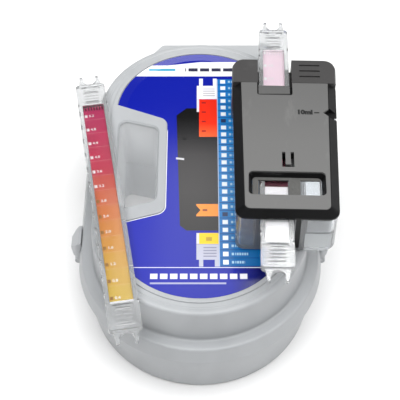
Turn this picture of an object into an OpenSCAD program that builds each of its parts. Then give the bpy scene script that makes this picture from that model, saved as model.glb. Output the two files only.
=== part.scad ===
// Water test kit: a frosted clamshell case with a carry handle. On its lid lie
// a comparator, with one colour slide in its channel, and a second colour slide.
// Origin: centre of the case's underside. +Z up, +X right, +Y to the hinge. Millimetres.

/* [Case] */
// Height of the flat top of the lid
lid_top = 65.5; // [62:0.5:70]
// Distance between the centres of the two round ends
end_gap = 85.2; // [80:0.2:90]
// Radius of the lid's top platform at its round ends
platform_r = 58.7; // [57:0.1:60]
// Radius of the lid's skirt at its lower edge
skirt_r = 67.8; // [67:0.1:69]
// Height of the ledge around the lid
ledge_z = 43; // [42:0.5:45]
// Height at which the lid and the base part
part_z = 33; // [32:0.5:34]
// Radius of the foot of the base
foot_r = 61.2; // [60:0.1:62]
// Wall thickness of the case
wall = 1.8; // [1.5:0.1:2]
// Radius of the label on the lid
label_r = 48.6; // [46:0.1:50]

/* [Hinge] */
// Height of the hinge axis
hinge_z = 34.5; // [34:0.1:35]
// Distance of the hinge axis behind the centre of the case
hinge_y = 115.2; // [115:0.1:116]
// Centre of the hinge block along X
hinge_x = 9.8; // [8:0.1:11]
// Radius of the hinge knuckles
knuckle_r = 3.6; // [3.4:0.1:3.8]
// Radius of the hinge pin
pin_r = 1.5; // [1.3:0.1:1.7]
// Height of the top of the hinge block
hinge_block_top = 56; // [52:0.5:58]

/* [Latches] */
// Centre of the two side latches along Y
latch_y = -30; // [-36:0.5:-28]
// Width of a latch
latch_w = 13; // [11:0.5:15]
// Height of the latch pivots
latch_z = 25; // [24:0.5:26]

/* [Tester] */
// Length of the tester with its cap
tester_len = 114; // [112:0.5:116]
// Half width of the tester at the middle of its length
tester_half = 28.2; // [28:0.1:28.5]
// How much the half width grows for each millimetre towards the cap
taper = 0.0255; // [0.02:0.0005:0.03]
// Thickness of the tester
tester_h = 30.4; // [30:0.1:31]
// Length of the cap
cap_len = 19; // [18:0.5:20]
// Angle that the tester lies at on the lid, in degrees
tester_turn = -1.5; // [-3:0.5:0]

/* [Colour slides] */
// Length of a colour slide without its prongs
slide_body = 175; // [172:0.5:176]
// Length of the prongs at each end
prong = 7.5; // [6:0.5:8]
// Width of a colour slide
slide_w = 17.2; // [16.8:0.1:17.4]
// Thickness of a colour slide
slide_t = 4.4; // [4:0.1:4.5]
// Width of the coloured film
film_w = 12.2; // [11:0.1:12.4]
// Number of colour fields
fields = 13; // [11:1:15]

/* [Hidden] */
$fn = 96;

clear = 0.3;          // gap between pieces that move past each other
cut = 1;              // overshoot of a cutting tool
rim_h = 0.8;          // height of the raised band around the label
rest_z = lid_top + rim_h + clear;   // what lies on the lid starts here
end_y = end_gap / 2;

// Handle opening: its four corners, before they are rounded
grip = [[-46.8, 35.7], [-24.3, 29.2], [-24.3, -25.6], [-46.8, -32.5]];
grip_round = 4.5;
grip_draft = 2.2;     // how much the opening narrows down to where the case parts
// The label's notch beside the handle opening
notch = [[-70, 56.1], [-19.4, 35.3], [-19.4, -33.9], [-70, -49.9]];

// Where the tester and the two slides lie
tester_at = [46.45, -3.5, rest_z];
slide_in_x = -5.4;    // middle of the slide channel in the tester's own frame
slide_in_z = 20.5;      // underside of the inserted slide in the tester's own frame
slide_in_y = 0.6;     // middle of the inserted slide in the tester's own frame
loose_at = [-51.2, -26.6, rest_z];
loose_turn = 9.4;

// Heights inside the tester, in its own frame
vessel_h = 25.2;
cover_z = 25.3;
blank_low = 8.2;      // floor and ceiling of the cell under the colour slide
blank_high = 17.8;
cell_low = 13.6;      // floor and ceiling of the sample cell
cell_high = 23.2;
channel_z = 20.2;
mouth_y = 37.4;       // open end of the vessel
tail_y = -tester_len / 2;
cap_y = tester_len / 2 - cap_len;

field_pitch = 10.85;
film_len = fields * field_pitch;

// ---------- helpers ----------

function unit(v) = v / norm(v);

function turn(v, a) = [v[0] * cos(a) - v[1] * sin(a), v[0] * sin(a) + v[1] * cos(a)];

// Arc of radius r in the corner at p, between its neighbours a and b
function corner(a, p, b, r, n) = r <= 0 ? [p] :
    let (u = unit(a - p), v = unit(b - p), th = acos(u * v))
    let (c = p + unit(u + v) * r / sin(th / 2))
    let (s = p + u * r / tan(th / 2) - c, e = p + v * r / tan(th / 2) - c)
    let (way = sign(s[0] * e[1] - s[1] * e[0]))
    [for (k = [0 : n]) c + turn(s, way * (180 - th) * k / n)];

function rounded(p, r, n = 8) = [for (i = [0 : len(p) - 1])
    each corner(p[(i + len(p) - 1) % len(p)], p[i], p[(i + 1) % len(p)],
        is_list(r) ? r[i] : r, n)];

// One corner of a convex outline moved outwards by d (the outline runs clockwise)
function moved(a, p, b, d) =
    let (u = unit(p - a), v = unit(b - p), m = [-u[1], u[0]], n = [-v[1], v[0]])
    p + d * (m + n) / (1 + m * n);

function grown(p, d) = [for (i = [0 : len(p) - 1])
    moved(p[(i + len(p) - 1) % len(p)], p[i], p[(i + 1) % len(p)], d)];

function rect(x0, y0, x1, y1) = [[x0, y0], [x1, y0], [x1, y1], [x0, y1]];

module stadium(r) {
    for (s = [-1, 1]) translate([0, s * end_y]) circle(r = r);
    square([2 * r, end_gap], center = true);
}

module stadium_plate(r, z0, z1) {
    translate([0, 0, z0]) linear_extrude(height = z1 - z0) stadium(r);
}

module plate(points, z0, z1) {
    translate([0, 0, z0]) linear_extrude(height = z1 - z0) polygon(points);
}

// A profile of [distance from the middle line, height] carried round the stadium
module around(profile) {
    for (s = [0, 180]) rotate([0, 0, s]) {
        translate([0, end_y, 0]) rotate_extrude(angle = 180) polygon(profile);
        rotate([90, 0, 0]) linear_extrude(height = end_gap, center = true) polygon(profile);
    }
}

module box(low, high) {
    translate(low) cube(high - low);
}

// ---------- case ----------

lid_profile = rounded([
    [40, lid_top - wall], [platform_r - wall, lid_top - wall],
    [platform_r - 1.3, ledge_z - wall], [skirt_r - 4, ledge_z - wall],
    [skirt_r - wall, part_z], [skirt_r, part_z], [skirt_r - 2.2, ledge_z],
    [platform_r + 0.5, ledge_z], [platform_r, lid_top],
    [55.6, lid_top], [55.2, lid_top - 0.3], [54.4, lid_top - 0.3], [54, lid_top],
    [40, lid_top]],
    [0, 1, 1, 0.8, 0.4, 0.5, 1.6, 1.4, 1.8, 0, 0, 0, 0, 0], 5);

base_profile = rounded([
    [40, 0], [foot_r, 0], [skirt_r - 1.6, part_z - 0.4], [62.8, part_z - 0.4],
    [62.6, ledge_z - 2.2], [61, ledge_z - 2.2], [61, part_z - 1.6],
    [skirt_r - 3.6, part_z - 3.6], [foot_r - 1.6, wall], [40, wall]],
    [0, 3, 0.6, 0.2, 0.6, 0.4, 0.6, 0.8, 1.5, 0], 5);

rim_profile = rounded([[label_r + 0.3, lid_top - cut], [label_r + 3, lid_top - cut],
    [label_r + 3, lid_top + rim_h], [label_r + 0.3, lid_top + rim_h]], [0, 0, 0.5, 0.3], 4);

// Plan of the hinge block, inset by d
function hinge_plan(d) = [[hinge_x - 43 + d, 88], [hinge_x - 43 + d, 97],
    [hinge_x - 33.4 + d, 110.4 - d], [hinge_x + 33.4 - d, 110.4 - d],
    [hinge_x + 43 - d, 97], [hinge_x + 43 - d, 88]];

knuckle_len = 12;
knuckle_step = knuckle_len + 0.4;

module knuckle(i) {
    translate([hinge_x + i * knuckle_step, hinge_y, hinge_z]) rotate([0, 90, 0])
        cylinder(r = knuckle_r, h = knuckle_len, center = true);
}

// A block that ties knuckle i to its half of the case
module knuckle_web(i, y0, y1, z0, z1) {
    x = hinge_x + i * knuckle_step;
    box([x - knuckle_len / 2, y0, z0], [x + knuckle_len / 2, y1, z1]);
}

module pin_bore(r) {
    translate([hinge_x, hinge_y, hinge_z]) rotate([0, 90, 0])
        cylinder(r = r, h = 5 * knuckle_step + 2 * cut, center = true);
}

// The handle opening widened by d, thinner by s0 at z0 and by s1 at z1
module grip_funnel(d, z0, s0, z1, s1) {
    hull() {
        plate(rounded(grown(grip, d - s0), grip_round + d - s0, 5), z0, z0 + 0.01);
        plate(rounded(grown(grip, d - s1), grip_round + d - s1, 5), z1 - 0.01, z1);
    }
}

// The part of the handle opening that runs through the lid, and its lining
module lid_grip(d) {
    grip_funnel(d, part_z, grip_draft, lid_top + rim_h, 0);
}

module base_grip(d) {
    grip_funnel(d, 0, 0, part_z - 0.4, grip_draft);
}

module lid_hinge_block() {
    difference() {
        plate(rounded(hinge_plan(0), [0, 3, 3, 3, 3, 0]), part_z, hinge_block_top);
        plate(hinge_plan(2), part_z - cut, hinge_block_top - 2);
        stadium_plate(skirt_r - 3.4, part_z - cut, ledge_z - 1);
        stadium_plate(platform_r - 0.4, part_z, lid_top);
    }
}

module case_lid() {
    color([0.84, 0.87, 0.89]) difference() {
        union() {
            around(lid_profile);
            stadium_plate(45, lid_top - wall, lid_top);
            difference() {
                around(rim_profile);
                plate(rounded(notch, 5.5), lid_top - 2, lid_top + 2);
            }
            intersection() {
                plate(rounded(notch, 5.5), lid_top - cut, lid_top + rim_h);
                stadium_plate(label_r + 3, lid_top - cut, lid_top + rim_h);
            }
            intersection() {
                lid_grip(wall);
                stadium_plate(platform_r - 1, part_z, lid_top);
            }
            lid_hinge_block();
            for (i = [-2, 0, 2]) {
                knuckle(i);
                knuckle_web(i, 109, hinge_y, part_z, hinge_z + knuckle_r);
            }
        }
        lid_grip(0);
        grip_funnel(0, part_z - cut, grip_draft, part_z + 0.02, grip_draft);
        // eased upper edge of the opening
        grip_funnel(0, lid_top - 0.1, 0, lid_top + rim_h + 0.2, -1);
        pin_bore(pin_r + 0.05);
        for (i = [-1, 1]) translate([hinge_x + i * knuckle_step, hinge_y, hinge_z])
            rotate([0, 90, 0])
            cylinder(r = knuckle_r + clear, h = knuckle_len + 0.8, center = true);
    }
}

// Side profile of the bracket that carries a base knuckle
bracket = [[100, 14], [hinge_y - 4, 26], [hinge_y + 2.5, 31.2], [hinge_y + 3.4, 34],
    [hinge_y, 34], [hinge_y - 3, 32.6], [100, 32.6]];

module latch_lugs(side) {
    for (s = [-1, 1]) translate([side * 66, latch_y + s * (latch_w / 2 - 2.8), latch_z])
        rotate([90, 0, 0]) difference() {
            union() {
                translate([side * 3, 0, 0]) cylinder(r = 2.4, h = 2.4, center = true);
                translate([side * 0.5, 0, 0]) cube([5, 4.8, 2.4], center = true);
            }
            translate([side * 3, 0, 0]) cylinder(r = 1.03, h = 6, center = true);
        }
}

module case_base() {
    color([0.80, 0.83, 0.85]) difference() {
        union() {
            around(base_profile);
            stadium_plate(45, 0, wall);
            base_grip(wall);
            for (i = [-1, 1]) {
                knuckle(i);
                translate([hinge_x + i * knuckle_step - knuckle_len / 2, 0, 0])
                    rotate([90, 0, 90]) linear_extrude(height = knuckle_len)
                    difference() {
                        polygon(bracket);
                        translate([end_y, 0]) square([skirt_r - 6, 60]);
                    }
            }
            for (side = [-1, 1]) latch_lugs(side);
        }
        base_grip(0);
        grip_funnel(0, -cut, 0, 0.02, 0);
        grip_funnel(0, part_z - 0.42, grip_draft, part_z + cut, grip_draft);
        pin_bore(pin_r + 0.05);
    }
}

module hinge_pin() {
    color("gainsboro") translate([hinge_x, hinge_y, hinge_z]) rotate([0, 90, 0])
        cylinder(r = pin_r, h = 5 * knuckle_step + 0.6, center = true);
}

module lid_label() {
    color([0.12, 0.15, 0.62]) difference() {
        stadium_plate(label_r, lid_top + 0.02, lid_top + 0.3);
        plate(rounded(grown(notch, 0.4), 5.9), lid_top - cut, lid_top + 2);
    }
}

// Section of a latch: barrel at the origin, wedge rising close outside the skirt
latch_wedge = rounded([[-0.8, 0], [-0.85, 8], [-2.25, 14.4], [-2, 15.5], [-0.6, 15.3],
    [4, 9.4], [3.9, 7], [2.3, 0]], [0, 2, 0.3, 0.4, 0.8, 1, 1, 0], 5);
// Plan of a latch: its outer corners fall away
latch_plan = rounded([[-3, -latch_w / 2], [-3, latch_w / 2], [1, latch_w / 2],
    [4.4, latch_w / 2 - 3.6], [4.4, 3.6 - latch_w / 2], [1, -latch_w / 2]],
    [0, 0, 3, 2.4, 2.4, 3], 6);

module latch(side) {
    color([0.82, 0.85, 0.87]) translate([side * 69, latch_y, latch_z]) difference() {
        union() {
            intersection() {
                rotate([90, 0, 0]) linear_extrude(height = latch_w, center = true)
                    scale_x(side) polygon(latch_wedge);
                translate([0, 0, -4]) linear_extrude(height = 24)
                    scale_x(side) polygon(latch_plan);
            }
            rotate([90, 0, 0]) cylinder(r = 2.3, h = latch_w, center = true);
        }
        for (s = [-1, 1]) translate([0, s * (latch_w / 2 - 2.8), 0])
            translate([side > 0 ? -6 : -2.9, -1.5, -3.2]) cube([8.9, 3, 6.2]);
        rotate([90, 0, 0]) cylinder(r = 1.06, h = 40, center = true);
    }
}

// Mirrors a 2D shape for the left side
module scale_x(side) {
    if (side > 0) children();
    else mirror([1, 0, 0]) children();
}

module left_latch() {
    latch(-1);
}

module right_latch() {
    latch(1);
}

module latch_pins() {
    color("gainsboro") for (side = [-1, 1])
        translate([side * 69, latch_y, latch_z]) rotate([90, 0, 0])
            cylinder(r = 1, h = latch_w - 0.4, center = true);
}

// ---------- what the case holds ----------

tray_z = 2.1;
tray_top = 22;
pocket_z = 8;
strip_w = 37;
strip_d = 23;
strip_pitch = 4.6;
strips = 3;

module storage_tray() {
    color([0.93, 0.94, 0.95]) difference() {
        stadium_plate(58.4, tray_z, tray_top);
        box([-70, -120, 0], [-22, 120, 30]);
        plate(rounded(rect(-5, -57.5, 55.6, 58.5), 5), pocket_z, 30);
        plate(rounded(rect(-16.2, -95.6, -6.4, 95.6), 3), 4, 30);
        for (s = [-1, 1]) plate(rounded(rect(-5, s * 75.5 - 12.2, 33.5, s * 75.5 + 12.2), 2),
            pocket_z, 30);
        plate(rounded(rect(-21.2, -49, -17.4, 49), 1.2), 17, 30);
    }
}

module for_each_strip() {
    for (s = [-1, 1]) for (k = [0 : strips - 1])
        translate([14.25, s * 75.5, pocket_z + 0.1 + k * strip_pitch]) children();
}

module tablet_strips() {
    color([0.80, 0.82, 0.84]) for_each_strip()
        plate(rounded(rect(-strip_w / 2, -strip_d / 2, strip_w / 2, strip_d / 2), 1.5), 0, 0.5);
}

module tablets() {
    color([0.96, 0.96, 0.93]) for_each_strip()
        for (i = [-2 : 2]) for (j = [-1, 1])
            translate([i * 7.2, j * 5.2, 0.5]) cylinder(r = 2.9, h = 3.4);
}

module stirring_rod() {
    color([0.93, 0.94, 0.95]) translate([-19.3, 0, 19]) rotate([90, 0, 0]) {
        cylinder(r = 1.6, h = 94, center = true);
        translate([0, 0, 44.4]) cylinder(r = 1.85, h = 5, center = true);
    }
}

module leaflet() {
    color("white") for (k = [0 : 3])
        plate(rect(-1, -50, 51, 50), pocket_z + 0.1 + k * 0.4, pocket_z + 0.45 + k * 0.4);
}

// ---------- tester, in its own frame ----------

module place_tester() {
    translate(tester_at) rotate([0, 0, tester_turn]) children();
}

function half_at(y) = tester_half + taper * y;

// Plan of the tester between y0 and y1, its long sides inset by d
function plan(y0, y1, d) = [[-half_at(y0) + d, y0], [half_at(y0) - d, y0],
    [half_at(y1) - d, y1], [-half_at(y1) + d, y1]];

cell_in = 10;         // inner side of the sample cell
cell_y = tail_y + 2.2;

module sample_cell(d) {
    plate(rounded([[cell_in + d, cell_y], [half_at(cell_y) - 2.8 - d, cell_y],
        [half_at(mouth_y) - 2.8 - d, mouth_y + cut], [cell_in + d, mouth_y + cut]],
        [1, 4, 0, 0]), cell_low + d, cell_high - d);
}

module blank_cell(d) {
    box([-12.6 + d, cell_y, blank_low + d], [2.6 - d, mouth_y + cut, blank_high - d]);
}

module tester_vessel() {
    color([0.90, 0.93, 0.95, 0.6]) place_tester() difference() {
        plate(rounded(plan(tail_y, mouth_y, 0.4), [5, 7, 1, 1]), 0, vessel_h);
        sample_cell(0);
        blank_cell(0);
        // slide channel, closed above by the cover
        box([slide_in_x - slide_w / 2 - 0.4, tail_y - cut, channel_z],
            [slide_in_x + slide_w / 2 + 0.4, mouth_y + cut, vessel_h + cut]);
        // slot for the light shield
        box([4.4, tail_y - cut, 1], [7.2, 36, vessel_h + cut]);
        // dry pocket beside the channel
        plate(rounded([[-half_at(cell_y) + 2.8, cell_y], [-16.2, cell_y],
            [-16.2, 35.4], [-half_at(35.4) + 2.8, 35.4]], 1.5), 2, vessel_h + cut);
        // pockets for the two reflectors, open below
        reflectors(0, -cut);
    }
}

// The two white blocks under the cells, thinner by d all round, standing on z
module reflectors(d, z) {
    box([-12.6 + d, -53.6 + d, z], [2.6 - d, 30 - d, blank_low - 1.8 - d]);
    box([cell_in + d, -53.6 + d, z], [23.4 - d, 30 - d, cell_low - 1.8 - d]);
}

module light_shield() {
    color([0.08, 0.08, 0.09]) place_tester()
        box([4.45, tail_y + 0.6, 1.05], [7.15, 35.9, vessel_h]);
}

module white_reflectors() {
    color("white") place_tester() reflectors(0.05, 0.6);
}

window_low = -44.7;
window_high = -28.6;
window_half = 20.1;
mark_y = 14.9;        // the fill mark, in the tester's own frame
bevel = 4.4;          // width of the sloping border
tail_bevel = 2.4;

function window_plan(d) = rounded(rect(-window_half + d, window_low + d * 0.4,
    window_half - d, window_high - d * 0.3), 2.6 - d * 0.3);

module cover_body() {
    hull() {
        plate(rounded(plan(tail_y, cap_y - 0.2, 0), [5.5, 5.5, 0.6, 0.6]), cover_z, cover_z + 1);
        plate(rounded(plan(tail_y + tail_bevel, cap_y - 0.2, bevel), [3.4, 3.4, 0.6, 0.6]),
            tester_h - 0.2, tester_h);
    }
}

module bridge_seat(z0) {
    plate(rounded(rect(slide_in_x - 9.9, 28, slide_in_x + 9.8, cap_y + 2), [1.4, 1.4, 0, 0]),
        z0, tester_h + cut);
}

module detent_slot(z0, z1) {
    for (x = [-2.3, 2.3]) box([0.8 + x - 0.9, -25.4, z0], [0.8 + x + 0.9, -14.8, z1]);
    box([0.8 - 3.2, -25.4, z0], [0.8 + 3.2, -23.6, z1]);
}

module mark_notch(z0, z1) {
    plate([[20.8, mark_y], [24.4, mark_y + 3.4], [34, mark_y + 2.2], [34, mark_y - 2.2],
        [24.4, mark_y - 3.4]], z0, z1);
}

module front_cover() {
    color([0.10, 0.10, 0.11]) place_tester() difference() {
        cover_body();
        hull() {
            plate(window_plan(2.1), cover_z - cut, cover_z);
            plate(window_plan(0), tester_h + 0.1, tester_h + cut);
        }
        // seat of the face plate
        plate(rounded(plan(tail_y + tail_bevel + 0.5, cap_y + 2, bevel + 0.4), 3),
            tester_h - 1, tester_h + cut);
        bridge_seat(tester_h - 3.4);
        detent_slot(cover_z - cut, tester_h + cut);
        mark_notch(cover_z + 1.6, tester_h + cut);
        // the mark's outer end is open down to the vessel
        box([27.2, mark_y - 2.1, cover_z - cut], [34, mark_y + 0.4, tester_h]);
    }
}

module face_plate() {
    color([0.42, 0.42, 0.43]) place_tester() difference() {
        plate(rounded(plan(tail_y + tail_bevel + 0.6, cap_y - 0.3, bevel + 0.5),
            [2.9, 2.9, 0.4, 0.4]), tester_h - 0.98, tester_h + 0.1);
        plate(window_plan(-0.1), cover_z, tester_h + cut);
        bridge_seat(cover_z);
        detent_slot(cover_z, tester_h + cut);
        mark_notch(cover_z, tester_h + cut);
    }
}

module slide_bridge() {
    color([0.40, 0.40, 0.41]) place_tester() {
        plate(rounded(rect(slide_in_x - 9.1, 28.6, slide_in_x + 8.4, cap_y - 0.9), 0.9),
            tester_h - 3.38, tester_h - 1.7);
        plate(rounded(rect(slide_in_x - 9.1, 28.6, slide_in_x + 8.4, 34.4), 0.9),
            tester_h - 3.38, tester_h - 0.9);
    }
}

module window_mask() {
    color([0.33, 0.33, 0.32]) place_tester() difference() {
        plate(window_plan(2.05), cover_z + 0.02, cover_z + 0.8);
        box([-15, -43.4, 0], [1.1, -31, 40]);
        box([7.1, -43.4, 0], [17.4, -31, 40]);
    }
}

module tester_cap() {
    color([0.22, 0.22, 0.23]) place_tester() difference() {
        hull() {
            plate(rounded(plan(cap_y, tester_len / 2, 0.1), [0.5, 0.5, 7, 7]), 0.6, tester_h - 1.2);
            plate(rounded(plan(cap_y, tester_len / 2 - 0.6, 0.9), [0.5, 0.5, 6, 6]),
                tester_h - 0.2, tester_h);
        }
        // open channel that the colour slide runs through
        box([slide_in_x - 9.4, cap_y - cut, channel_z],
            [slide_in_x + 9.8, 70, tester_h + cut]);
        // hollow over the mouths of the two cells
        box([-14, cap_y - cut, 4.4], [7, tester_len / 2 - 2.5, channel_z - 1.5]);
        box([6, cap_y - cut, 4.4], [25.9, tester_len / 2 - 2.5, 25]);
        // grip slots
        for (k = [0 : 2]) plate(rounded(rect(8.6, 42.6 + k * 4.5, 20.3, 43.8 + k * 4.5), 0.5),
            tester_h - 0.9, tester_h + cut);
    }
}

module cap_seal() {
    color([0.25, 0.27, 0.30]) place_tester() {
        difference() {
            union() {
                plate(rect(-13.9, mouth_y + 0.1, 7, cap_y + 1.4), 4.5, channel_z - 1.6);
                plate(rect(6.1, mouth_y + 0.1, 25.8, cap_y + 1.4), 9, 24.9);
            }
            box([-10, mouth_y + 1.8, 7], [4, 60, 16]);
            box([10, mouth_y + 1.8, 13], [22, 60, 22]);
        }
        intersection() {
            union() {
                sample_cell(0.2);
                blank_cell(0.2);
            }
            box([-30, mouth_y - 3, 0], [30, mouth_y + 0.2, 40]);
        }
    }
}

// ---------- colour slides, each in its own frame ----------

web_t = 1.4;          // floor of the carrier under the film
film_t = 0.3;

end_at = slide_body / 2;
pad_w = 11.4;         // sunk pad with the grip bars at each end
pad_len = 12.6;
pad_at = end_at - 2.4 - pad_len / 2;
pad_z = slide_t - 0.8;
notch_r = 3.8;        // round gap between two prongs

// The two prongs at the +Y end, with the round gap between them
module fork() {
    translate([0, 0, 1]) linear_extrude(height = slide_t - 2) difference() {
        union() {
            polygon(rounded([[6.9, end_at - 1], [6.3, end_at + 1.4], [5.4, end_at + prong],
                [-5.4, end_at + prong], [-6.3, end_at + 1.4], [-6.9, end_at - 1]],
                [0, 1.5, 0.6, 0.6, 1.5, 0], 5));
            for (x = [-4.7, 4.7]) translate([x, end_at + prong - 0.9]) circle(r = 1, $fn = 24);
        }
        translate([0, end_at + 1 + notch_r]) circle(r = notch_r);
        translate([-notch_r, end_at + 1 + notch_r]) square([2 * notch_r, 2 * prong]);
    }
}

module slide_carrier() {
    difference() {
        union() {
            plate(rounded(rect(-slide_w / 2, -end_at, slide_w / 2, end_at), 2.2), 0, slide_t);
            for (s = [0, 180]) rotate([0, 0, s]) fork();
        }
        // pocket for the film and its cover
        box([-film_w / 2, -film_len / 2, web_t], [film_w / 2, film_len / 2, slide_t + cut]);
        for (s = [-1, 1]) translate([0, s * pad_at, 0]) {
            // sunk pad, and a deeper line across it on the film's side
            plate(rounded(rect(-pad_w / 2, -pad_len / 2, pad_w / 2, pad_len / 2), 1.6, 5),
                pad_z, slide_t + cut);
            translate([0, s * -4.6, pad_z]) cube([7.6, 0.7, 1.4], center = true);
            // hollow underneath
            plate(rounded(rect(-4.4, -5, 4.4, 5), 1.2, 5), -cut, 0.9);
            // nicks in the long edges where the film ends
            for (x = [-1, 1]) translate([x * slide_w / 2, s * -7.6, slide_t - 1])
                cube([1.6, 1.1, 2.4], center = true);
        }
        // click stops along one rail
        for (k = [0 : fields - 1])
            translate([-slide_w / 2, (k - (fields - 1) / 2) * field_pitch, -cut])
                cylinder(r = 0.9, h = slide_t + 2 * cut, $fn = 24);
    }
    // grip bars
    for (s = [-1, 1]) for (k = [0 : 3])
        translate([0, s * (pad_at - 2.4 + k * 2.3), pad_z])
            rotate([0, 90, 0]) cylinder(r = 0.45, h = 8.4, center = true, $fn = 16);
}

module slide_film() {
    plate(rect(-film_w / 2 + 0.05, -film_len / 2 + 0.05, film_w / 2 - 0.05, film_len / 2 - 0.05),
        web_t + 0.01, web_t + film_t);
}

module slide_cover() {
    plate(rect(-film_w / 2 + 0.05, -film_len / 2 + 0.05, film_w / 2 - 0.05, film_len / 2 - 0.05),
        web_t + film_t + 0.05, slide_t - 0.4);
}

module place_inserted() {
    place_tester() translate([slide_in_x, slide_in_y, slide_in_z]) children();
}

module place_loose() {
    translate(loose_at) rotate([0, 0, loose_turn]) children();
}

module inserted_slide_carrier() {
    color([0.92, 0.95, 0.96, 0.5]) place_inserted() slide_carrier();
}

module inserted_slide_film() {
    color([0.95, 0.70, 0.80]) place_inserted() slide_film();
}

module inserted_slide_cover() {
    color([0.92, 0.95, 0.96, 0.4]) place_inserted() slide_cover();
}

module loose_slide_carrier() {
    color([0.92, 0.95, 0.96, 0.5]) place_loose() slide_carrier();
}

module loose_slide_film() {
    color([0.85, 0.30, 0.35]) place_loose() slide_film();
}

module loose_slide_cover() {
    color([0.92, 0.95, 0.96, 0.4]) place_loose() slide_cover();
}

case_base();
case_lid();
hinge_pin();
lid_label();
left_latch();
right_latch();
latch_pins();
storage_tray();
tablet_strips();
tablets();
stirring_rod();
leaflet();
tester_vessel();
light_shield();
white_reflectors();
front_cover();
face_plate();
slide_bridge();
window_mask();
tester_cap();
cap_seal();
inserted_slide_carrier();
inserted_slide_film();
inserted_slide_cover();
loose_slide_carrier();
loose_slide_film();
loose_slide_cover();
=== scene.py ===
"""Looks of the water test kit: materials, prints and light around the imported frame.

The scene is in metres, in the frame's own axes, and MM turns millimetres into metres. The shaders and
the small print work in the frame's millimetres.
"""
import math

import bpy
from mathutils import Matrix, Vector


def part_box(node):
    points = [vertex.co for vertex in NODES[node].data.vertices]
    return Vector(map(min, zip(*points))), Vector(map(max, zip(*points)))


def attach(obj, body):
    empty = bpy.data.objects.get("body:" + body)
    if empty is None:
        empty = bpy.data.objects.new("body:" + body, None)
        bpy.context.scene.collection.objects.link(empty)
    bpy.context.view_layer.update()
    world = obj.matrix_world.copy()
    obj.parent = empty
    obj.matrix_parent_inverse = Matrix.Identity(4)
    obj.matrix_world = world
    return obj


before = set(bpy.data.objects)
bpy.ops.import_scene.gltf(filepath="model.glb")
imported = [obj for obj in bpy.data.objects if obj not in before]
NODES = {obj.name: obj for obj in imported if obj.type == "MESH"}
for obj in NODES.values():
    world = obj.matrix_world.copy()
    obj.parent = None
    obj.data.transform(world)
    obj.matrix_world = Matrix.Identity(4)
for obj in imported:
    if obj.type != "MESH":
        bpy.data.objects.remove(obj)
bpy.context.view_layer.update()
MM = 0.001

# ---------------------------------------------------------------- camera

CAMERA_AT = Vector((0.0, -0.4255, 0.5441))
CAMERA_AIM = Vector((0.0, -0.0256, 0.0659))
CAMERA_FOV = math.radians(20.0)


def make_camera():
    data = bpy.data.cameras.new("camera")
    data.angle = CAMERA_FOV
    camera = bpy.data.objects.new("camera", data)
    camera.location = CAMERA_AT
    camera.rotation_euler = (CAMERA_AIM - CAMERA_AT).to_track_quat("-Z", "Y").to_euler()
    bpy.context.scene.collection.objects.link(camera)
    bpy.context.scene.camera = camera


make_camera()

# ---------------------------------------------------------------- shader maths


class Val:
    """A number or vector in a node tree that ordinary operators work on."""

    def __init__(self, tree, out):
        self.tree, self.out = tree, out

    def math(self, kind, *others, clamp=False):
        node = self.tree.nodes.new("ShaderNodeMath")
        node.operation = kind
        node.use_clamp = clamp
        for socket, value in zip(node.inputs, (self, *others)):
            feed(self.tree, socket, value)
        return Val(self.tree, node.outputs[0])

    def __add__(self, other):
        return self.math("ADD", other)

    def __radd__(self, other):
        return self.math("ADD", other)

    def __sub__(self, other):
        return self.math("SUBTRACT", other)

    def __rsub__(self, other):
        return (self * -1.0) + other

    def __mul__(self, other):
        return self.math("MULTIPLY", other)

    def __truediv__(self, other):
        return self.math("DIVIDE", other)

    def __abs__(self):
        return self.math("ABSOLUTE")

    def root(self):
        return self.math("SQRT")

    def most(self, other):
        return self.math("MAXIMUM", other)

    def clamped(self):
        return self.math("ADD", 0.0, clamp=True)

    def fraction(self):
        return self.math("FRACT")

    def floor(self):
        return self.math("FLOOR")

    def below(self, edge, soft=0.05):
        """1 where this is under edge, 0 above it, with a soft step."""
        return ((self * -1.0 + edge) / soft + 0.5).clamped()

    def above(self, edge, soft=0.05):
        """0 where this is under edge, 1 above it, with a soft step."""
        return ((self - edge) / soft + 0.5).clamped()

    def between(self, low, high, soft=0.15):
        """1 from low to high, 0 outside, with soft steps."""
        return self.above(low, soft) * self.below(high, soft)

    def rising(self, low, high):
        """0 below low, 1 above high, straight between them."""
        return ((self - low) / (high - low)).clamped()


def feed(tree, socket, value):
    """Links a value that varies to the socket, or sets a plain one on it."""
    if isinstance(value, Val):
        tree.links.new(value.out, socket)
    elif isinstance(value, (tuple, list)) and len(value) == 3 and socket.type == "RGBA":
        socket.default_value = (*value, 1.0)
    else:
        socket.default_value = value


def scaled(colour, factor):
    return tuple(factor * part for part in colour)


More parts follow.
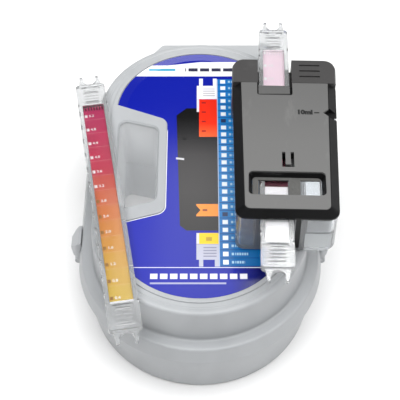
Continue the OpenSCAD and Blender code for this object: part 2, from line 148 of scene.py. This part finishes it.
class Material:
    """A principled material whose inputs are set by name."""

    def __init__(self, name):
        self.material = bpy.data.materials.new(name)
        self.material.use_nodes = True
        self.tree = self.material.node_tree
        self.shader = self.tree.nodes["Principled BSDF"]

    def set(self, **values):
        for name, value in values.items():
            feed(self.tree, self.shader.inputs[name.replace("_", " ")], value)
        return self

    def point(self):
        """The surface point in the object's own axes, as x, y, z in millimetres."""
        coordinates = self.tree.nodes.new("ShaderNodeTexCoord")
        split = self.tree.nodes.new("ShaderNodeSeparateXYZ")
        self.tree.links.new(coordinates.outputs["Object"], split.inputs[0])
        return [Val(self.tree, split.outputs[i]) * 1000.0 for i in range(3)]

    def noise(self, scale, detail=2.0, rough=0.5, stretch=(1.0, 1.0, 1.0)):
        """Noise over the surface. scale is in waves per metre."""
        coordinates = self.tree.nodes.new("ShaderNodeTexCoord")
        mapping = self.tree.nodes.new("ShaderNodeMapping")
        mapping.inputs["Scale"].default_value = stretch
        node = self.tree.nodes.new("ShaderNodeTexNoise")
        node.inputs["Scale"].default_value = scale
        node.inputs["Detail"].default_value = detail
        node.inputs["Roughness"].default_value = rough
        self.tree.links.new(coordinates.outputs["Object"], mapping.inputs[0])
        self.tree.links.new(mapping.outputs[0], node.inputs["Vector"])
        return Val(self.tree, node.outputs[0])

    def mix(self, mask, low, high):
        """The colour low where mask is 0 and high where it is 1."""
        node = self.tree.nodes.new("ShaderNodeMix")
        node.data_type = "RGBA"
        feed(self.tree, node.inputs[0], mask)
        feed(self.tree, node.inputs[6], low)
        feed(self.tree, node.inputs[7], high)
        return Val(self.tree, node.outputs[2])

    def ramp(self, value, stops):
        """A colour that runs through stops, each a place from 0 to 1 and its colour."""
        node = self.tree.nodes.new("ShaderNodeValToRGB")
        elements = node.color_ramp.elements
        while len(elements) < len(stops):
            elements.new(0.5)
        for element, (at, colour) in zip(elements, stops):
            element.position = at
            element.color = (*colour, 1.0)
        self.tree.links.new(value.out, node.inputs[0])
        return Val(self.tree, node.outputs[0])

    def bump(self, height, strength, distance):
        node = self.tree.nodes.new("ShaderNodeBump")
        node.inputs["Strength"].default_value = strength
        node.inputs["Distance"].default_value = distance
        feed(self.tree, node.inputs["Height"], height)
        self.tree.links.new(node.outputs[0], self.shader.inputs["Normal"])
        return self


def paint(material, *names):
    """Gives every material slot of these CAD nodes or pieces one material."""
    for name in names:
        piece = NODES[name] if isinstance(name, str) else name
        piece.data.materials.clear()
        piece.data.materials.append(material.material)


# ---------------------------------------------------------------- case

# The handle opening in plan. Its long sides lie at these x. Its short sides start from these y at the
# outer long side and lean towards each other by these slopes. At its middle height the walls stand
# inside that plan by the inset, and they flare out towards its top and bottom.
GRIP_OUTER_X, GRIP_INNER_X = -46.8, -24.3
GRIP_FAR_Y, GRIP_FAR_LEAN = 35.7, 0.289
GRIP_NEAR_Y, GRIP_NEAR_LEAN = -32.5, 0.307
GRIP_MIDDLE_Z = 33.0
GRIP_INSET, GRIP_FLARE = 1.2, 2.2
GRIP_RIM_Z = 64.6         # the lining's upper end
# painted light: how strongly the lower half of the handle's lining glows
PAINTED_LINING_GLOW = 0.045


def grip_lining(x, y, z):
    """1 on the inner faces of the handle opening, 0 elsewhere."""
    along = x - GRIP_OUTER_X
    depth = abs(z - GRIP_MIDDLE_Z) / GRIP_MIDDLE_Z
    past_long_side = (x * -1.0 + GRIP_OUTER_X).most(x - GRIP_INNER_X)
    past_far_side = y + along * GRIP_FAR_LEAN - GRIP_FAR_Y
    past_near_side = along * GRIP_NEAR_LEAN + GRIP_NEAR_Y - y
    outside = past_long_side.most(past_far_side).most(past_near_side)
    return (outside - depth * GRIP_FLARE).below(-GRIP_INSET, 0.3) * z.below(GRIP_RIM_Z, 1.6)


def frosted(name, shade=1.0):
    """Translucent polypropylene: a fine grain, cloudy depth, rubbed, shinier patches and some painted
    light.
    """
    m = Material(name)
    x, y, z = m.point()
    grain = m.noise(1400.0, 2.0)
    haze = m.noise(16.0, 3.0)
    rub = m.noise(60.0, 4.0, 0.6).rising(0.50, 0.72)
    # painted light: the body is painted paler towards the back, where its shoulders catch more light
    painted_back_light = y.rising(20.0, 110.0) * 0.6
    cloudy = m.noise(34.0, 3.0, 0.55, stretch=(1.0, 1.0, 0.35)).rising(0.50, 0.78) * 0.5
    body = m.mix(haze, scaled((0.400, 0.415, 0.430), shade), scaled((0.450, 0.465, 0.480), shade))
    body = m.mix(painted_back_light, body, (0.54, 0.555, 0.565))
    body = m.mix(cloudy, body, scaled((0.335, 0.35, 0.365), shade))
    # painted light: the lining of the handle opening is painted paler, and its lower half glows faintly,
    # standing in for light that comes in through the opening
    lining = grip_lining(x, y, z)
    m.set(
        Base_Color=m.mix(lining, body, (0.84, 0.853, 0.865)),
        Roughness=0.36 + grain * 0.10 - rub * 0.08,
        Transmission_Weight=0.10 + haze * 0.10,
        IOR=1.49,
        Emission_Color=(0.96, 0.98, 1.0),
        Emission_Strength=lining * z.below(GRIP_MIDDLE_Z, 1.0) * PAINTED_LINING_GLOW,
    )
    return m.bump(grain, 0.08, 0.0002)


# ---------------------------------------------------------------- plain materials


def plain(name, low, high, rough, scale=300.0, bump=0.1, metallic=0.0, wear=0.0, specular=0.5):
    """An opaque material with grain, cloudy colour and, if asked, paler rubbed patches."""
    m = Material(name)
    grain = m.noise(scale, 3.0)
    cloud = m.noise(24.0, 3.0)
    colour = m.mix(grain * 0.5 + cloud * 0.5, low, high)
    if wear:
        rubbed = m.noise(90.0, 5.0, 0.65).rising(0.60, 0.74) * wear
        colour = m.mix(rubbed, colour, tuple(v * 1.6 + 0.02 for v in high))
    m.set(Base_Color=colour, Roughness=rough + grain * 0.12 + cloud * 0.10 - 0.10, Metallic=metallic,
          Specular_IOR_Level=specular)
    return m.bump(grain, bump, 0.0001)


def clear(name, tint=(0.955, 0.975, 0.985), rough=0.02, through=1.0):
    """Clear moulded plastic with faint flow marks. through is the share of light that it lets pass."""
    m = Material(name)
    flow = m.noise(70.0, 2.0, stretch=(1.0, 0.3, 1.0))
    grain = m.noise(500.0, 2.0)
    m.set(
        Base_Color=m.mix(flow, tint, tuple(min(1.0, v * 1.04) for v in tint)),
        Roughness=rough + grain * 0.05,
        Transmission_Weight=through,
        IOR=1.47,
    )
    return m.bump(flow, 0.12, 0.0004)


def steel():
    """A turned pin: fine rings across its length."""
    m = Material("pin_steel")
    rings = m.noise(2200.0, 1.0, stretch=(1.0, 0.05, 0.05))
    m.set(Base_Color=m.mix(rings, (0.46, 0.46, 0.47), (0.62, 0.62, 0.62)),
          Roughness=0.24 + rings * 0.18, Metallic=1.0)
    return m.bump(rings, 0.15, 0.00005)


# ---------------------------------------------------------------- lid label

# Where the parts of the print lie: from and to along y, or x from and to and then y from and to.
TITLE_BAND = (72.0, 84.4)
DRAWN_BODY = (-14.0, 10.6, -47.0, 45.0)
DRAWN_SLIDE_X = (-0.5, 10.0)
RED_FIELD = (22.0, 52.4)
FLAG_FIELD = (-37.0, -28.4)
YELLOW_FIELD = (-56.0, -48.6)
LIST_BOX = (10.5, 34.0, -71.0, 69.4)
LIST_PITCH = 5.416
FOOT_LINE_Y = -71.6
LABEL_RADIUS, LABEL_END = 48.6, 42.6      # of the label's round ends, and how far out they are centred
CURL_WIDTH, CURL_SLOPE = 5.4, 0.40

BLUE = (0.002, 0.009, 0.32)
BLUE_PALE = (0.006, 0.012, 0.36)
NAVY = (0.001, 0.002, 0.08)
PAPER = (0.80, 0.80, 0.80)
FOOT_INK = (0.72, 0.72, 0.76)


def print_title(m, x, y, colour):
    """A pale band, which narrows at the left, with two plain rules in it."""
    low, high = TITLE_BAND
    band = y.between(low, high - (x * -0.05).clamped() * 3.0, 0.3)
    blue_rule = y.between(76.6, 78.6) * x.between(-31.0, -15.0)
    dark_rule = y.between(76.2, 79.0) * x.between(-9.0, 26.0) * (x / 7.0).fraction().below(0.80, 0.03)
    colour = m.mix(band, colour, PAPER)
    colour = m.mix(blue_rule, colour, (0.05, 0.33, 0.50))
    return m.mix(dark_rule, colour, (0.03, 0.03, 0.06))


def print_tester(m, x, y, colour):
    """The drawn tester: a dark, slightly leaning body with two cut corners, a mark and a dot."""
    x0, x1, y0, y1 = DRAWN_BODY
    upright = x + (y - y1) * 0.035
    body = upright.above(x0, 0.4) * x.below(x1, 0.3) * y.between(y0, y1, 0.4)
    far_cut = (x - y).above(x0 - y1 + 6.0, 0.8)
    near_cut = (upright + y).above(x0 + y0 + 3.5, 0.8)
    shade = m.ramp(y.rising(y0, y1), [
        (0.0, (0.018, 0.017, 0.017)), (0.30, (0.032, 0.030, 0.030)), (0.60, (0.030, 0.028, 0.029)),
        (0.80, (0.010, 0.010, 0.011)), (0.92, (0.001, 0.001, 0.001))])
    mark = x.between(-13.6, -9.0, 0.4) * (y + x * 0.15).between(2.6, 4.0, 0.4)
    dot_x, dot_y = x + 9.0, y - 20.6
    dot = (dot_x * dot_x + dot_y * dot_y).below(1.4, 0.9)
    colour = m.mix(body * far_cut * near_cut, colour, shade)
    colour = m.mix(mark, colour, (0.55, 0.55, 0.58))
    return m.mix(dot, colour, (0.004, 0.004, 0.005))


def print_slide(m, x, y, colour):
    """The drawn slide where it sticks out of the drawn tester: forked and ribbed grips at both ends."""
    left, right = DRAWN_SLIDE_X
    wide = x.between(left - 1.4, right + 0.2, 0.25)
    prongs = x.between(left, left + 2.2, 0.25).most(x.between(right - 2.2, right, 0.25))
    far_grip = (y.between(52.6, 63.8, 0.25) * wide).most(y.between(63.0, 70.0, 0.25) * prongs)
    near_grip = (y.between(-66.5, -56.2, 0.25) * wide).most(y.between(-71.0, -66.0, 0.25) * prongs)
    ribs = (y / 1.9).fraction().below(0.42, 0.12) * x.between(1.8, 8.8, 0.3)
    rim = wide * y.between(42.0, 52.6, 0.3) * x.below(left, 0.25)
    colour = m.mix(far_grip, colour, (0.76, 0.76, 0.80))
    colour = m.mix(near_grip, colour, (0.42, 0.43, 0.52))
    colour = m.mix(ribs * y.between(54.0, 61.4, 0.3), colour, (0.42, 0.40, 0.44))
    colour = m.mix(ribs * y.between(-65.0, -58.0, 0.3), colour, (0.22, 0.22, 0.30))
    return m.mix(rim, colour, (0.66, 0.66, 0.72))


def print_fields(m, x, y, colour):
    """The drawn slide's fields: red with ticks, an orange flag and a yellow square on a pale strip."""
    left, right = DRAWN_SLIDE_X
    inside = x.between(left, right, 0.25)
    low, high = RED_FIELD
    red = m.ramp(y.rising(low, high), [
        (0.0, (0.84, 0.12, 0.03)), (0.35, (0.82, 0.025, 0.003)), (1.0, (0.70, 0.018, 0.005))])
    ticks = ((y - 26.0) / 7.65).fraction().below(0.14, 0.05) * x.between(1.0, 3.4, 0.3)
    red = m.mix(ticks, red, (0.25, 0.01, 0.01))
    colour = m.mix(inside * y.between(low, high, 0.25), colour, red)

    low, high = FLAG_FIELD
    off_middle = abs(y - (low + high) / 2.0)
    notch = (x + off_middle * 0.7).above(0.3, 0.3)
    flag = x.between(-2.0, right, 0.25) * y.between(low, high, 0.25) * notch
    dash = x.between(1.4, 4.0, 0.3) * off_middle.below(0.8, 0.3)
    colour = m.mix(flag, colour, (0.82, 0.26, 0.035))
    colour = m.mix(flag * dash, colour, (0.25, 0.07, 0.02))

    low, high = YELLOW_FIELD
    strip = x.between(left - 1.4, right + 0.2, 0.25) * y.between(low, high, 0.25)
    square = x.between(3.2, 6.4, 0.3) * (y - low).between(2.0, 4.6, 0.3)
    colour = m.mix(strip, colour, (0.62, 0.60, 0.62))
    colour = m.mix(inside * y.between(low, high, 0.25), colour, (0.76, 0.52, 0.010))
    return m.mix(square, colour, (0.42, 0.28, 0.02))


def print_list(m, x, y, colour):
    """A light blue list: each row has a square and a few strokes, and two rows have a dark square."""
    x0, x1, y0, y1 = LIST_BOX
    ground = m.ramp(y.rising(y0, y1), [
        (0.0, (0.004, 0.105, 0.33)), (0.35, (0.006, 0.20, 0.52)), (0.75, (0.006, 0.20, 0.56)),
        (1.0, (0.008, 0.14, 0.42))])
    place = (y - y0) / LIST_PITCH
    row, number = place.fraction(), place.floor()
    ground = m.mix(row.below(0.10, 0.05), ground, (0.003, 0.06, 0.23))
    dark_row = number.between(5.5, 6.5, 0.01).most(number.between(18.5, 19.5, 0.01))
    square = row.between(0.26, 0.80, 0.05) * x.between(12.2, 15.1, 0.2)
    ground = m.mix(square, ground, m.mix(dark_row, (0.78, 0.84, 0.88), (0.01, 0.03, 0.10)))
    # the strokes end at a different x in each row
    end = (number * 0.37 + 0.2).fraction() * 5.0 + 18.6
    long_stroke = x.above(18.6, 0.2) * (x - end).below(4.0, 0.2) * (x / 1.3).fraction().below(0.72, 0.08)
    strokes = row.between(0.38, 0.68, 0.05) * x.between(16.8, 18.0, 0.2).most(long_stroke)
    ground = m.mix(strokes, ground, (0.32, 0.52, 0.66))
    colour = m.mix(x.between(x0, x1, 0.2) * y.between(y0, y1, 0.2), colour, ground)
    return m.mix(x.between(x0 - 0.5, x0, 0.15) * y.between(y0, y1, 0.2), colour, (0.35, 0.45, 0.62))


def print_edge_highlight(m, x, y, colour):
    """A painted highlight: a pale line by the near inner corner of the handle's collar, as if its edge
    caught light.
    """
    right = x + 24.9
    below = (y + 33.9 - (x + 19.4) * 0.316) * -0.953 + 5.5
    # distance from the corner's centre in the skewed axes of its two sides
    u, v = right.most(below * 0.3), below.most(right * 0.3)
    distance = ((u * u + v * v - u * v * 0.6) / 0.91).root()
    edge = distance.between(5.85, 6.25, 0.2) * y.below(27.0, 2.0) * x.above(-45.0)
    return m.mix(edge, colour, (0.84, 0.85, 0.87))


def print_foot(m, x, y, colour):
    """A line across the label, with a row of plain blocks and a thin rule below it."""
    line = y.between(FOOT_LINE_Y - 0.22, FOOT_LINE_Y + 0.22, 0.15) * x.between(-37.0, 36.0, 0.2)
    row = y.between(-79.0, -75.6, 0.25) * x.between(-26.0, 24.8, 0.2)
    blocks = row * (x / 5.2).fraction().below(0.74, 0.06)
    rule = y.between(-82.3, -81.2, 0.25) * x.between(-26.0, 13.6, 0.2)
    colour = m.mix(line, colour, (0.70, 0.71, 0.75))
    colour = m.mix(blocks, colour, FOOT_INK)
    return m.mix(rule, colour, (0.34, 0.35, 0.50))


def edge_curl(x, y):
    """The height by which the film curls up along the far part of its outer edge."""
    past_end = (abs(y) - LABEL_END).most(0.0)
    from_edge = (x * x + past_end * past_end).root() * -1.0 + LABEL_RADIUS
    return (from_edge * -1.0 + CURL_WIDTH).most(0.0) * y.above(10.0, 20.0) * CURL_SLOPE


def label_print():
    """The lid's label: a title band, a drawn tester with its slide, a list of rows and a foot."""
    m = Material("label_print")
    x, y, z = m.point()
    grain = m.noise(700.0, 2.0)
    cloud = m.noise(18.0, 2.0)
    near_left = x.below(-18.0, 40.0) * y.below(20.0, 60.0)
    near_right = x.above(24.0, 16.0) * y.below(-56.0, 20.0)
    colour = m.mix(cloud * 0.25, m.mix(near_left, BLUE, BLUE_PALE), NAVY)
    colour = m.mix(near_right, colour, NAVY)
    for draw in (print_title, print_tester, print_slide, print_fields, print_list, print_edge_highlight,
                 print_foot):
        colour = draw(m, x, y, colour)
    m.set(Base_Color=colour, Roughness=0.10 + grain * 0.03 + cloud * 0.03)
    return m.bump(edge_curl(x, y) + grain * 0.002, 1.0, 0.001)


# ---------------------------------------------------------------- tester and case contents

FACE_NEAR_Y, FACE_FAR_Y = -58.0, 36.0
BRIDGE_PAINTED_SHADE, BRIDGE_SHADOW_LINE = 0.8, 1.5       # painted shade: its paint against the face's, and the width of the painted shadow line along its near edge


def grey_face(name, tone=1.0, edge=None):
    """The tester's face, a printed satin grey; painted shade darkens its far end and the near side of
    edge.
    """
    m = Material(name)
    x, y, z = m.point()
    grain = m.noise(900.0, 2.0)
    cloud = m.noise(40.0, 3.0)
    scuff = m.noise(120.0, 4.0, 0.7, stretch=(1.0, 0.25, 1.0)).rising(0.58, 0.75)
    # painted shade: the grey darkens from the near end towards the far end of the face
    shade = m.ramp(y.rising(FACE_NEAR_Y, FACE_FAR_Y), [
        (0.0, scaled((0.132, 0.132, 0.130), tone)), (0.5, scaled((0.126, 0.126, 0.124), tone)),
        (1.0, scaled((0.100, 0.100, 0.099), tone))])
    shade = m.mix(cloud * 0.35, shade, scaled((0.133, 0.132, 0.130), tone))
    # painted shadow: a dark line on the near side of edge, standing in for the shadow of a step
    if edge is not None:
        shade = m.mix(y.below(edge, 0.4), shade, (0.012, 0.012, 0.012))
    m.set(Base_Color=m.mix(scuff * 0.22, shade, (0.26, 0.26, 0.255)),
          Roughness=0.42 + grain * 0.12 - scuff * 0.08)
    return m.bump(grain, 0.10, 0.0001)


def white_block():
    """White blocks under the cells. The one under the sample cell glows as painted light, most under the
    window.
    """
    m = Material("white_block")
    x, y, z = m.point()
    grain = m.noise(300.0, 3.0)
    under_sample, under_window = x.above(52.0, 2.0), y.between(-46.0, -12.0, 8.0)
    m.set(Base_Color=m.mix(grain, (0.82, 0.82, 0.81), (0.88, 0.88, 0.87)),
          Roughness=0.4 + grain * 0.1,
          Emission_Color=(1.0, 1.0, 1.0),
          # painted light: the block under the sample cell glows, brightest under the window
          Emission_Strength=under_sample * (under_window * 1.25 + 0.06))
    return m.bump(grain, 0.1, 0.0001)


def mask_grey():
    """The framed insert in the window: short, dark, vertical grain."""
    m = Material("grey_mask")
    streak = m.noise(1500.0, 2.0, stretch=(1.0, 0.35, 1.0))
    cloud = m.noise(120.0, 2.0)
    m.set(Base_Color=m.mix(streak * 0.7 + cloud * 0.3, (0.035, 0.035, 0.033), (0.125, 0.125, 0.120)),
          Roughness=0.45 + streak * 0.2)
    return m.bump(streak, 0.3, 0.0002)


def leaflet_print():
    """Uncoated paper with a blue heading and rows of plain strokes for its lines."""
    m = Material("leaflet_print")
    x, y, z = m.point()
    fibre = m.noise(900.0, 4.0, 0.6, stretch=(1.0, 0.4, 1.0))
    heading = x.between(3.0, 47.0) * y.between(38.0, 46.0)
    row = y / 4.2
    row_end = (row.floor() * 0.31).fraction() * 16.0 + 30.0
    strokes = row.fraction().below(0.30, 0.10) * y.between(-44.0, 34.0) * x.above(4.0)
    colour = m.mix(fibre, (0.60, 0.60, 0.58), (0.72, 0.72, 0.69))
    colour = m.mix(heading, colour, (0.02, 0.05, 0.30))
    colour = m.mix(strokes * (x - row_end).below(0.0), colour, (0.16, 0.16, 0.17))
    m.set(Base_Color=colour, Roughness=0.78 + fibre * 0.15)
    return m.bump(fibre, 0.2, 0.0001)


# ---------------------------------------------------------------- colour slides

FIELDS = 13
FIELD_PITCH = 10.85
FILM_LENGTH = FIELDS * FIELD_PITCH
TESTER_AT, TESTER_TURN = (46.45, -3.5), math.radians(-1.5)

# For each slide: where its film's middle lies and how it is turned, how far its fields sit from the
# film's near end and how high the squares and numbers stand in a field, both as a share of a field, how
# many numbers it has, and its colours from the near end to the far end.
SLIDES = {
    "loose": {
        "at": (-51.2, -26.6), "turn": math.radians(9.4), "shift": 0.0, "mark": 0.30, "numbers": FIELDS,
        "fields": [
            (0.0, (0.68, 0.46, 0.035)), (0.20, (0.70, 0.36, 0.030)), (0.40, (0.70, 0.20, 0.025)),
            (0.56, (0.66, 0.105, 0.060)), (0.66, (0.60, 0.035, 0.085)), (1.0, (0.50, 0.014, 0.110))],
        "near_squares": (0.35, 0.16, 0.04), "far_squares": (0.88, 0.80, 0.82),
        "teeth": (0.035, 0.012, 0.016)},
    "inserted": {
        "at": (TESTER_AT[0] - 5.4, TESTER_AT[1] + 0.74), "turn": TESTER_TURN,
        "shift": 0.62, "mark": 0.52, "numbers": FIELDS - 1,
        "fields": [
            # painted shade: the near-black maroon at 0.31 is the film's maroon darkened for the shadow of
            # the window's upper edge
            (0.0, (0.94, 0.93, 0.94)), (0.290, (0.97, 0.93, 0.95)), (0.310, (0.065, 0.003, 0.016)),
            (0.46, (0.24, 0.02, 0.06)), (0.72, (0.93, 0.70, 0.80)), (1.0, (0.95, 0.74, 0.83))],
        "near_squares": (0.88, 0.86, 0.86), "far_squares": (0.95, 0.93, 0.93),
        "teeth": (0.80, 0.68, 0.73)},
}


def film(which):
    """The coloured film of a slide: graded fields, a small square in each, and a toothed far end."""
    slide = SLIDES[which]
    m = Material("film_" + which)
    x, y, z = m.point()
    at, cos_turn, sin_turn = slide["at"], math.cos(slide["turn"]), math.sin(slide["turn"])
    across = (x - at[0]) * cos_turn + (y - at[1]) * sin_turn
    along = (x - at[0]) * -sin_turn + (y - at[1]) * cos_turn
    step = (along + FILM_LENGTH / 2.0) / FIELD_PITCH + slide["shift"]
    field, cell = step.floor(), step.fraction()
    # the colour changes mostly from field to field and a little within each
    colour = m.ramp((field + 0.5 + (cell - 0.5) * 0.35) / FIELDS, slide["fields"])
    colour = m.mix(cell.below(0.035, 0.03) * 0.18, colour, (0.95, 0.80, 0.70))
    fade = m.noise(60.0, 3.0)
    colour = m.mix(fade * 0.06, colour, (0.90, 0.80, 0.80))
    near, far = slide["near_squares"], slide["far_squares"]
    ink = m.ramp(step / FIELDS, [(0.0, near), (0.52, near), (0.56, far), (1.0, far)])
    mark = slide["mark"]
    square = cell.between(mark - 0.1, mark + 0.1, 0.04) * across.between(-5.6, -4.0, 0.2)
    colour = m.mix(square, colour, ink)
    from_end = along * -1.0 + FILM_LENGTH / 2.0
    teeth = (across / 1.6).fraction().below(0.55, 0.12) * from_end.below(3.3, 0.3)
    colour = m.mix(teeth.most(from_end.below(0.5, 0.2)), colour, slide["teeth"])
    return m.set(Base_Color=colour, Roughness=0.28 + fade * 0.10)


# ---------------------------------------------------------------- which part gets which material


def paint_case():
    paint(frosted("frosted_case"), "case_base", "case_lid")
    paint(frosted("frosted_latch", 1.10), "left_latch", "right_latch")
    paint(steel(), "hinge_pin", "latch_pins")
    paint(label_print(), "lid_label")


def paint_contents():
    paint(plain("tray", (0.50, 0.51, 0.52), (0.58, 0.59, 0.60), 0.5, wear=0.15), "storage_tray")
    paint(plain("rod", (0.60, 0.61, 0.62), (0.70, 0.71, 0.72), 0.4), "stirring_rod")
    foil = plain("foil", (0.55, 0.55, 0.56), (0.74, 0.74, 0.75), 0.30, scale=700.0, bump=0.5, metallic=0.9)
    paint(foil, "tablet_strips")
    paint(plain("tablet", (0.70, 0.70, 0.65), (0.80, 0.80, 0.75), 0.9, scale=900.0, bump=0.4), "tablets")
    paint(leaflet_print(), "leaflet")


def paint_tester():
    paint(clear("clear_vessel", (0.80, 0.825, 0.845), 0.04, 0.86), "tester_vessel")
    black = plain("black_cover", (0.0030, 0.0030, 0.0034), (0.0060, 0.0060, 0.0064), 0.38, scale=1200.0,
                  wear=0.06, specular=0.24)
    paint(black, "front_cover", "light_shield")
    paint(white_block(), "white_reflectors")
    paint(grey_face("grey_face"), "face_plate")
    bridge_near_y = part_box("slide_bridge")[0][1] / MM
    paint(grey_face("grey_bridge_shaded", BRIDGE_PAINTED_SHADE, bridge_near_y + BRIDGE_SHADOW_LINE), "slide_bridge")
    paint(mask_grey(), "window_mask")
    dark = plain("dark_cap", (0.034, 0.033, 0.033), (0.052, 0.050, 0.050), 0.45, scale=1000.0, wear=0.2)
    paint(dark, "tester_cap")
    paint(plain("seal", (0.04, 0.045, 0.05), (0.06, 0.065, 0.07), 0.7, scale=600.0), "cap_seal")


def paint_slides():
    carrier = clear("clear_slide", (0.71, 0.722, 0.728), 0.05, 0.77)
    paint(carrier, "inserted_slide_carrier", "loose_slide_carrier")
    paint(clear("clear_slide_cover", rough=0.04), "inserted_slide_cover", "loose_slide_cover")
    for which in SLIDES:
        paint(film(which), which + "_slide_film")


paint_case()
paint_contents()
paint_tester()
paint_slides()

# ---------------------------------------------------------------- small print

MARK_SIZE, NUMBER_SIZE = 4.3, 2.5
MARK_X, MARK_Y = 6.4, 14.9      # on the tester's face, from the tester's middle
NUMBER_X = -3.2                 # on a slide, from its film's middle line
NUMBER_STEP = 0.4
PRINT_HEIGHT = 0.01             # half the thickness of the letters


def text_piece(name, words, size, material, place, body, line_gap=1.0, bold=0.0):
    """Generic figures as a thin solid, set out in the millimetres of the piece's own frame."""
    curve = bpy.data.curves.new(name, "FONT")
    curve.body = words
    curve.size = size
    curve.space_line = line_gap
    curve.align_x, curve.align_y = "LEFT", "CENTER"
    curve.extrude = PRINT_HEIGHT
    curve.offset = bold
    curve.resolution_u = 3
    text = bpy.data.objects.new(name, curve)
    bpy.context.scene.collection.objects.link(text)
    bpy.context.view_layer.update()
    mesh = bpy.data.meshes.new_from_object(text)
    bpy.data.objects.remove(text)
    piece = bpy.data.objects.new(name, mesh)
    bpy.context.scene.collection.objects.link(piece)
    mesh.transform(Matrix.Scale(MM, 4))
    piece.matrix_world = place
    paint(material, piece)
    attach(piece, body)
    return piece


def placed(at, turn, x, y, z):
    """A place x, y, z in a frame that stands at `at` and is turned by `turn`, all in millimetres."""
    frame_at = Matrix.Translation(Vector((at[0], at[1], 0.0)) * MM) @ Matrix.Rotation(turn, 4, "Z")
    return frame_at @ Matrix.Translation(Vector((x, y, z)) * MM)


def fill_mark():
    ink = plain("ink_black", (0.004, 0.004, 0.004), (0.010, 0.010, 0.010), 0.5)
    face_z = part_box("face_plate")[1][2] / MM
    place = placed(TESTER_AT, TESTER_TURN, MARK_X, MARK_Y, face_z + 0.03)
    text_piece("fill_mark", "10ml \u2013", MARK_SIZE, ink, place, "tester", bold=0.32)


def slide_numbers():
    """A column of numbers on each slide, one beside each field's square."""
    ink = plain("ink_pale", (0.80, 0.76, 0.77), (0.88, 0.84, 0.85), 0.5)
    for which, slide in SLIDES.items():
        rows = slide["numbers"]
        words = "\n".join("%.1f" % (NUMBER_STEP * (rows - k)) for k in range(rows))
        film_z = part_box(which + "_slide_film")[1][2] / MM
        # the rows end in the film's last field, and the text is centred on its own middle
        middle = slide["mark"] - slide["shift"] + (FIELDS - rows - 1) / 2.0
        place = placed(slide["at"], slide["turn"], NUMBER_X, middle * FIELD_PITCH, film_z + 0.015)
        text_piece(which + "_slide_numbers", words, NUMBER_SIZE, ink, place, which + "_slide",
                   FIELD_PITCH / NUMBER_SIZE, bold=0.06)


fill_mark()
slide_numbers()

# ---------------------------------------------------------------- stage

FLOOR_REACH = 3.0
FLOOR_DROP = 0.0002       # keeps the floor just clear of the case's underside

# For each lamp: its place, the point that it shines at, its size and its radiance. The last three are
# mirrored by the label, its left part and the inserted slide's near end.
LAMPS = {
    "overhead": ((0.0, -0.25, 1.4), (0.0, -0.1, 0.0), (2.2, 1.6), 3.9),
    "veil": ((-0.005, 0.580, 0.866), (-0.005, -0.04, 0.066), (0.12, 0.25), 2.0),
    "streak": ((-0.093, 0.545, 0.866), (-0.04, -0.06, 0.066), (0.058, 0.16), 1.1),
    "sheen": ((0.111, 0.489, 0.866), (0.041, -0.088, 0.091), (0.06, 0.09), 9.5),
}


def make_floor():
    mesh = bpy.data.meshes.new("floor")
    reach = FLOOR_REACH
    mesh.from_pydata([(-reach, -reach, 0), (reach, -reach, 0), (reach, reach, 0), (-reach, reach, 0)],
                     [], [(0, 1, 2, 3)])
    floor = bpy.data.objects.new("floor", mesh)
    bpy.context.scene.collection.objects.link(floor)
    paper = Material("floor").set(Base_Color=(0.90, 0.90, 0.90), Roughness=0.9)
    floor.data.materials.append(paper.material)
    floor.location.z = -FLOOR_DROP


def area_light(name, at, aim, size, radiance):
    """A rectangular lamp of a given size that shines with this radiance."""
    data = bpy.data.lights.new(name, "AREA")
    data.shape = "RECTANGLE"
    data.size, data.size_y = size
    data.energy = radiance * math.pi * size[0] * size[1]
    light = bpy.data.objects.new(name, data)
    light.location = at
    light.rotation_euler = (Vector(aim) - Vector(at)).to_track_quat("-Z", "Y").to_euler()
    bpy.context.scene.collection.objects.link(light)


def make_world():
    """A dim studio that is brighter on the right, and a little brighter overhead and in front."""
    world = bpy.data.worlds.new("studio")
    world.use_nodes = True
    tree = world.node_tree
    background = tree.nodes["Background"]
    coordinates = tree.nodes.new("ShaderNodeTexCoord")
    split = tree.nodes.new("ShaderNodeSeparateXYZ")
    tree.links.new(coordinates.outputs["Generated"], split.inputs[0])
    x, y, z = (Val(tree, split.outputs[i]) for i in range(3))
    overhead, right, front = z.rising(0.0, 1.0), x.rising(-0.2, 0.9), (y * -1.0).rising(0.6, 1.0)
    strength = overhead * 0.05 + right * 0.28 + front * 0.15 + 0.05
    tree.links.new(strength.out, background.inputs["Strength"])
    background.inputs["Color"].default_value = (1.0, 1.0, 1.0, 1.0)
    bpy.context.scene.world = world


make_floor()
make_world()
for lamp, values in LAMPS.items():
    area_light(lamp, *values)
bpy.context.scene.view_settings.view_transform = "Standard"
